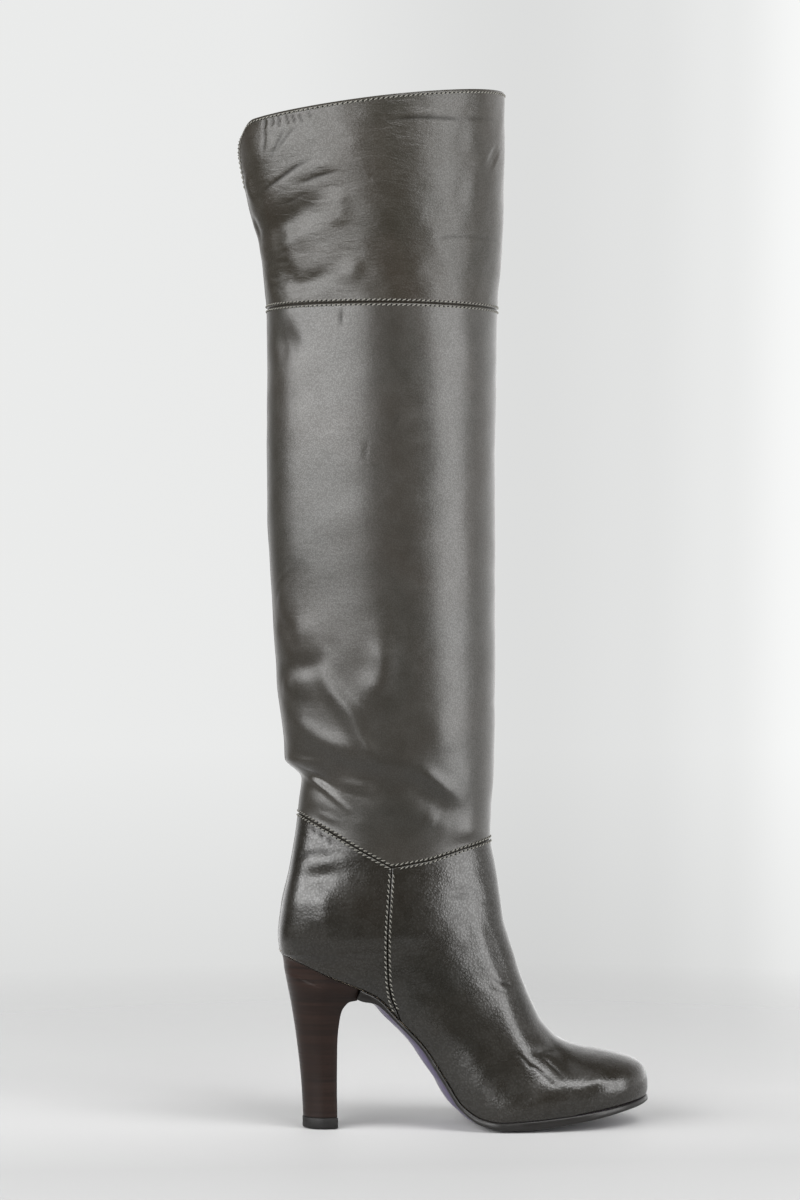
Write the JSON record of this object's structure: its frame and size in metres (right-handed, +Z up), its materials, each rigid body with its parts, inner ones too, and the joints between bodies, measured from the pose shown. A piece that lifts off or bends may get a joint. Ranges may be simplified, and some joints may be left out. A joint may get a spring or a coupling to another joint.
{
  "type": "tall leather boot",
  "caption": "Tall over-the-knee pull-on leather boot for the right foot, with a sewn cuff, a slit at its back, a round toe and a high stacked heel.",
  "frame": {"origin": "on the floor, under the middle of the boot's bounding box", "axes": "+X to the toe, +Y to the inner side of the right foot, +Z up"},
  "size_m": [0.247, 0.12, 0.619],
  "materials": {
    "olive_leather": "smooth glossy olive-grey leather",
    "lining_leather": "matt sand-coloured lining leather",
    "sole_leather": "polished dark plum sole leather with a black edge",
    "stacked_wood": "polished dark brown stacked layers",
    "black_rubber": "matt black rubber"
  },
  "bodies": {
    "root": {"upper": "olive_leather", "shaft": "olive_leather", "cuff": "olive_leather", "insole": "lining_leather", "outsole": "sole_leather", "heel": "stacked_wood", "top_lift": "black_rubber"}
  },
  "joints": []
}
